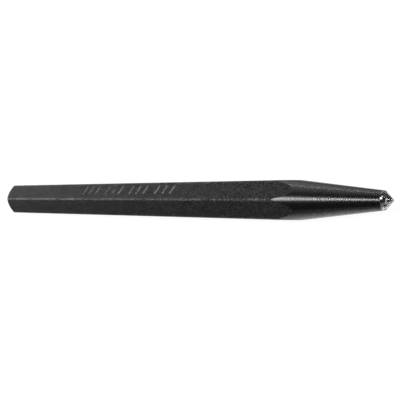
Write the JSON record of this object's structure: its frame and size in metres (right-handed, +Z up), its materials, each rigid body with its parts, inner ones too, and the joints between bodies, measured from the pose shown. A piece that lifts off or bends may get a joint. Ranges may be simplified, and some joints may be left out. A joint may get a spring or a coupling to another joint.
{
  "type": "center punch",
  "caption": "One-piece hexagonal steel punch with a chamfered striking end, a tapered round nose and a ground conical point, for marking hole centres in metal.",
  "frame": {"origin": "centre of the underside flat, halfway along the overall length", "axes": "+X along the punch's axis toward the point, +Z up out of the flat it lies on, +Y across the corners of the hexagon"},
  "size_m": [0.146, 0.0108, 0.0095],
  "materials": {
    "black_oxide_steel": "satin",
    "ground_steel": "satin"
  },
  "bodies": {
    "root": {"punch_body": "black_oxide_steel"}
  },
  "joints": []
}
